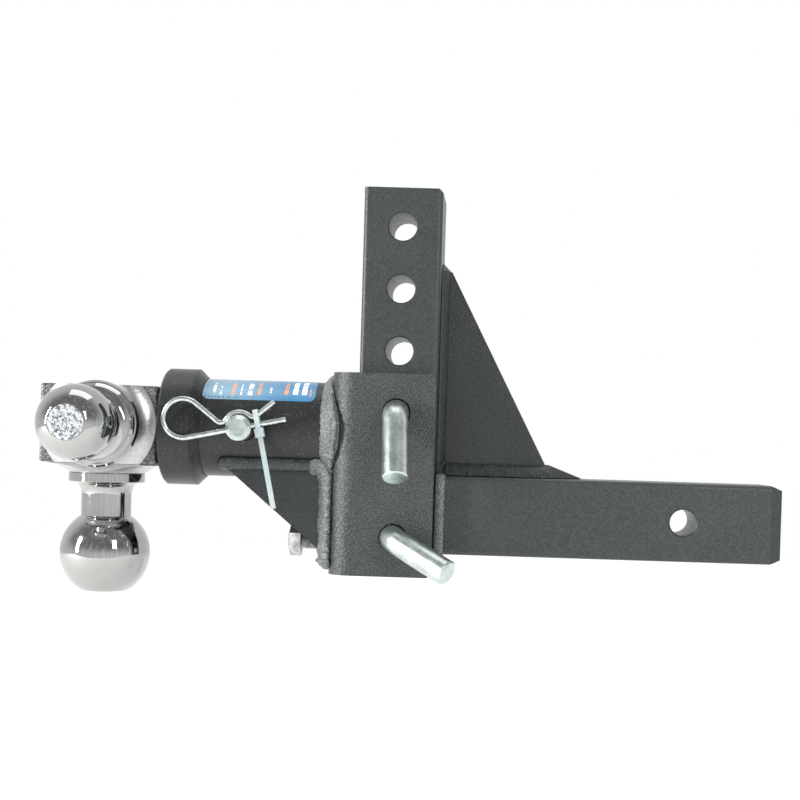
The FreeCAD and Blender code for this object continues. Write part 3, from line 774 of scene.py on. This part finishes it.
def layLabel():
    s = labelSettings
    low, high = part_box("label")
    tubeLow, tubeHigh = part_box("receiver_tube")
    radius = (tubeHigh.z - tubeLow.z) / 2
    axisHeight = (tubeLow.z + tubeHigh.z) / 2
    reach = math.pi - 2 * math.asin((low.z - axisHeight) / radius)  # how far round the tube it goes
    wide = reach * radius
    long = high.x - low.x
    letGo()
    bpy.ops.mesh.primitive_plane_add(size=1, rotation=(math.radians(90), 0, 0), location=(0, 0, 0))
    piece = bpy.context.object
    piece.name = "label_print"
    piece.scale = (long, wide, 1)
    bpy.ops.object.transform_apply(location=False, rotation=True, scale=True)
    work(piece)
    pick("VERT", lambda vertex: True)
    bpy.ops.mesh.bevel(affect="VERTICES", offset=s["corner"], segments=s["cornerSteps"])
    cuts = s["bendCuts"]
    for i in range(1, cuts):
        bpy.ops.mesh.select_all(action="SELECT")
        bpy.ops.mesh.bisect(plane_co=(0, 0, wide * (i / cuts - 0.5)), plane_no=(0, 0, 1))
    applyModifier(piece, "SIMPLE_DEFORM", deform_method="BEND", deform_axis="X", angle=reach)
    applyModifier(piece, "SOLIDIFY", thickness=s["thickness"], offset=1)
    piece.rotation_euler = (math.radians(-90), 0, 0)
    piece.location = ((low.x + high.x) / 2, 0, axisHeight + radius + s["lift"])
    settle(piece, s["smooth"])
    give(piece, "label", "label_print", "sleeve", "label")
    return piece


labelPiece = layLabel()
print("label", [round(v, 4) for v in labelPiece.dimensions])


# weld beads: overlapping lumps laid along each joint over its plain fillet, then fused

weldSettings = {
    "voxel": 0.7 * mm,
    "wander": 0.14,          # how much lumps differ
    "seed": 5,
    "lumpFaces": (16, 10),   # round a lump's upright axis, and from its foot to its crown
    "blunt": 0.75,           # length of a lump's leading side
    "bluntFrom": 0.1,        # past the lump's middle
    "smoothing": 0.5,
}
chance = random.Random(weldSettings["seed"])


def unit(x, y, z):
    return Vector((x, y, z)).normalized()


def alongRun(start, end, step, outward):
    # places and directions of the lumps on one straight run
    start, end = Vector(start), Vector(end)
    count = max(1, round((end - start).length / step))
    return [(start.lerp(end, i / count), (end - start).normalized(), outward, 1.0) for i in range(count + 1)]


def fused(name, node, body, lumps, size, finish="weld", rounds=2):
    # lumps are (place, along, outward, scale); size is half length, half width and half height
    s = weldSettings
    letGo()
    around, upward = s["lumpFaces"]
    bpy.ops.mesh.primitive_uv_sphere_add(
        segments=around, ring_count=upward, radius=1, location=(0, 0, 0),
    )
    drop = bpy.context.object
    work(drop)
    pick("VERT", lambda vertex: vertex.co.x > s["bluntFrom"])
    bpy.ops.transform.resize(value=(s["blunt"], 1, 1), center_override=(0, 0, 0))
    letGo()
    base = nodes[node].copy()
    base.data = nodes[node].data.copy()
    base.parent = None
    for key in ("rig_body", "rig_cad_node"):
        del base[key]
    bpy.context.scene.collection.objects.link(base)
    work(base)
    tidyMesh()
    letGo()
    copies = [base]
    for place, along, outward, scale in lumps:
        across = outward.cross(along).normalized()
        spread = [scale * size[i] * (1 + chance.uniform(-1, 1) * s["wander"]) for i in range(3)]
        turn = Matrix((along, across, along.cross(across))).transposed().to_4x4()
        copy = drop.copy()
        copy.data = drop.data.copy()
        bpy.context.scene.collection.objects.link(copy)
        copy.matrix_world = Matrix.Translation(place) @ turn @ Matrix.Diagonal((*spread, 1))
        copies.append(copy)
    bpy.data.objects.remove(drop)
    piece = joinAll(copies, name)
    applyModifier(piece, "REMESH", mode="VOXEL", voxel_size=s["voxel"])
    applyModifier(piece, "SMOOTH", factor=s["smoothing"], iterations=rounds)
    settle(piece, 180)
    give(piece, finish, "powder_coat", body, node)
    return piece


gussetLow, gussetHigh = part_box("gusset_plate")
postSide = gussetLow.x
shankTop = gussetLow.z
plateHalf = gussetHigh.y
gussetWeld = {
    "foot": 9.0 * mm,
    "upright": 6.0 * mm,
    "step": 2.4 * mm,
    "footFrom": 7 * mm,      # where the foot's lumps begin, out from the post
    "uprightFrom": 9 * mm,   # where the upright's lumps begin, up from the shank
    "uprightLump": 0.62,     # shares of the foot's
    "uprightStep": 0.8,
    "size": (1.9 * mm, 6.0 * mm, 1.0 * mm),
}


def gussetLumps():
    w = gussetWeld
    foot = plateHalf + w["foot"] / 2
    rise = shankTop + w["foot"] / 2
    upright = plateHalf + w["upright"] / 2
    out = postSide + w["upright"] / 2
    lumps = []
    for side in (-1, 1):
        lumps += alongRun(
            (postSide + w["footFrom"], side * foot, rise), (gussetHigh.x, side * foot, rise),
            w["step"], unit(0, side, 1),
        )
        lumps += [
            (place, along, outward, w["uprightLump"]) for place, along, outward, _ in alongRun(
                (out, side * upright, shankTop + w["uprightFrom"]), (out, side * upright, gussetHigh.z),
                w["step"] * w["uprightStep"], unit(1, side, 0),
            )
        ]
    return lumps


# the gusset's bead takes the painted-shade coat, as it lies set back between post and shank
fused("weld_gusset_bead", "weld_gusset", "drop_frame", gussetLumps(), gussetWeld["size"], "shade")

shankWeld = {
    "step": 2.9 * mm,
    "cornerGap": 2 * mm,
    "size": (2.2 * mm, 3.1 * mm, 1.6 * mm),
}


def shankLumps():
    low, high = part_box("weld_shank_post")
    x = (low.x + high.x) / 2
    half = shankTop
    straight = half - shankWeld["cornerGap"]
    lumps = []
    for turn in range(4):
        c, s = round(math.cos(turn * math.pi / 2)), round(math.sin(turn * math.pi / 2))
        outward = Vector((0, c, s))
        sideways = Vector((0, -s, c))
        start = Vector((x, 0, 0)) + outward * half - sideways * straight
        lumps += alongRun(start, start + sideways * 2 * straight, shankWeld["step"], outward)
    return lumps


fused("weld_shank_bead", "weld_shank_post", "drop_frame", shankLumps(), shankWeld["size"])

tubeWeld = {
    "flatHalf": 20.9 * mm,   # half the flat of the sleeve's sheet, before it bends away
    "bend": 15 * mm,
    "bendLimit": 0.95,
    "follow": 0.55,          # how far the ring of lumps follows the bend
    "ringGap": 2.2 * mm,
    "fromBack": 3.4 * mm,
    "step": 3.0 * mm,
    "size": (2.7 * mm, 5.6 * mm, 1.9 * mm),
    "rounds": 7,
}


def tubeLumps():
    w = tubeWeld
    low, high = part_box("receiver_tube")
    radius = (high.z - low.z) / 2
    axisHeight = (low.z + high.z) / 2
    back = high.x
    bend = w["bend"]
    ring = radius + w["ringGap"]
    lumps = []
    count = round(math.tau * ring / w["step"])
    for i in range(count):
        turn = math.tau * i / count
        c, s = math.cos(turn), math.sin(turn)
        over = max(0, abs(ring * c) - w["flatHalf"])
        sag = bend - math.sqrt(bend ** 2 - min(over, bend * w["bendLimit"]) ** 2)
        place = Vector((back - w["fromBack"] + w["follow"] * sag, ring * c, axisHeight + ring * s))
        lumps.append((place, Vector((0, -s, c)), unit(-1, c, s), 1.0))
    return lumps


fused(
    "weld_tube_bead", "weld_tube_sleeve", "sleeve", tubeLumps(), tubeWeld["size"], "weld",
    tubeWeld["rounds"],
)

webWeld = {
    "lift": 2.9 * mm,
    "step": 2.6 * mm,
    "outward": 0.7 * mm,
    "below": 0.7 * mm,
    "fromBack": 1.4 * mm,
    "under": (0.93, -0.37),      # sideways and down
    "quietLump": 0.42,           # the long run under the tube
    "quietLift": 0.5,
    "quietSteps": 3,             # lumps to a step
    "quietFrom": 13 * mm,
    # round the corner: in from the back, down from the joint, share of the lift
    "turn": ((10 * mm, 0, 0.7), (4 * mm, 2 * mm, 0.8), (0, 9 * mm, 1.0)),
    "tail": (1.1, 0.95, 0.7),    # lumps that die away below the web
    "tailIn": 0.8 * mm,
    "tailFrom": 1.5 * mm,
    "tailStep": 2.2 * mm,
    "frontLump": 0.75,
    "frontFrom": 3 * mm,
    "size": (2.0 * mm, 6.0 * mm, 2.2 * mm),
}


def webLumps(side, node):
    w = webWeld
    low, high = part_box(node)
    outer = side * max(abs(low.y), abs(high.y)) + side * w["outward"]
    joint = high.z - w["below"]
    back = high.x - w["fromBack"]
    sideways, down = w["under"]
    under = unit(0, side * sideways, down)
    corner = unit(-1, side, 0)
    lift = w["lift"]
    quiet = under * lift * w["quietLift"]
    lumps = [
        (place, along, outward, w["quietLump"]) for place, along, outward, _ in alongRun(
            Vector((low.x, outer, joint)) + quiet, Vector((back - w["turn"][0][0], outer, joint)) + quiet,
            w["step"] / w["quietSteps"], under,
        )
    ]
    corners = [
        Vector((back - inward, outer, joint - drop)) + away * lift * share
        for (inward, drop, share), away in zip(w["turn"], (under, corner, corner))
    ]
    corners.append(Vector((back, outer, low.z)) + corner * lift)
    for start, end in zip(corners, corners[1:]):
        lumps += alongRun(start, end, w["step"], corner)
    for i, scale in enumerate(w["tail"]):
        inward = i * w["tailIn"]
        drop = i * w["tailStep"] + w["tailFrom"]
        place = Vector((back + inward, outer - side * inward, low.z - drop)) + corner * lift * scale
        lumps.append((place, Vector((0, 0, -1)), corner, scale))
    front = Vector((low.x + w["frontFrom"], outer, joint)) + under * lift
    lumps.append((front, Vector((1, 0, 0)), under, w["frontLump"]))
    return lumps


for side, end in ((-1, "near"), (1, "far")):
    web = "web_plate_" + end
    webBead = fused(
        "weld_web_bead_" + end, "weld_web_" + end, "sleeve", webLumps(side, web), webWeld["size"],
    )
    webBead.data.materials.append(finishes["sandy"])
    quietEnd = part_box(web)[1].x - webWeld["quietFrom"]
    for face in webBead.data.polygons:  # the long run under the tube is thinner, and darker as painted shade in the crease under the tube
        face.material_index = 1 if face.center.x < quietEnd else 0
print("welds laid")


# anti-rattle bolt: hexagon head and turned thread

boltSettings = {
    "pitch": 1.75 * mm,
    "threadDepth": 1.0 * mm,
    "headHeight": 7.5 * mm,
    "headEdge": 0.7 * mm,
    "radius": 5.95 * mm,
    "flats": 17.9 * mm,
    "root": 1 * mm,          # of the thread, inside the head
    "plainEnd": 2 * mm,
    "tipEdge": 0.5 * mm,
    "tipShort": 0.02 * mm,
    "turnSteps": 48,
    "headRim": 1.2 * mm,
    "dishEdge": 0.4 * mm,
    "dish": 0.2 * mm,
    "smooth": 30,            # degrees
}


def makeBolt():
    s = boltSettings
    low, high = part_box("anti_rattle_bolt")
    length = high.x - low.x - s["headHeight"]
    core = s["radius"] - s["threadDepth"]
    outline = [(0, -s["root"]), (core, -s["root"])]
    turns = int((length - s["plainEnd"]) / s["pitch"])
    for i in range(turns):
        outline.append((s["radius"], (i + 0.5) * s["pitch"]))
        outline.append((core, (i + 1) * s["pitch"]))
    outline += [(core, length - s["tipEdge"]), (0, length - s["tipShort"])]
    shank = spun("bolt_thread", outline, s["turnSteps"])
    letGo()
    bpy.ops.mesh.primitive_cylinder_add(
        vertices=6, radius=s["flats"] / math.sqrt(3), depth=s["headHeight"],
        location=(0, 0, -s["headHeight"] / 2), rotation=(0, 0, math.pi / 6),
    )
    head = bpy.context.object
    work(head)
    pick("EDGE", lambda edge: all(v.co.z < 0 for v in edge.verts))
    bpy.ops.mesh.bevel(offset=s["headEdge"], segments=2)
    pick("FACE", lambda face: face.normal.z < -0.9)
    bpy.ops.mesh.inset(thickness=s["headRim"], depth=0)
    bpy.ops.mesh.inset(thickness=s["dishEdge"], depth=-s["dish"])
    letGo()
    return joinAll([shank, head], "bolt_turned")


def placeBolt():
    low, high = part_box("anti_rattle_bolt")
    piece = makeBolt()
    piece.rotation_euler = (0, math.radians(90), 0)
    piece.location = (low.x + boltSettings["headHeight"], (low.y + high.y) / 2, (low.z + high.z) / 2)
    settle(piece, boltSettings["smooth"])
    give(piece, "bolt", "bolt_zinc", "anti_rattle_bolt", "anti_rattle_bolt")


placeBolt()
print("bolt turned")
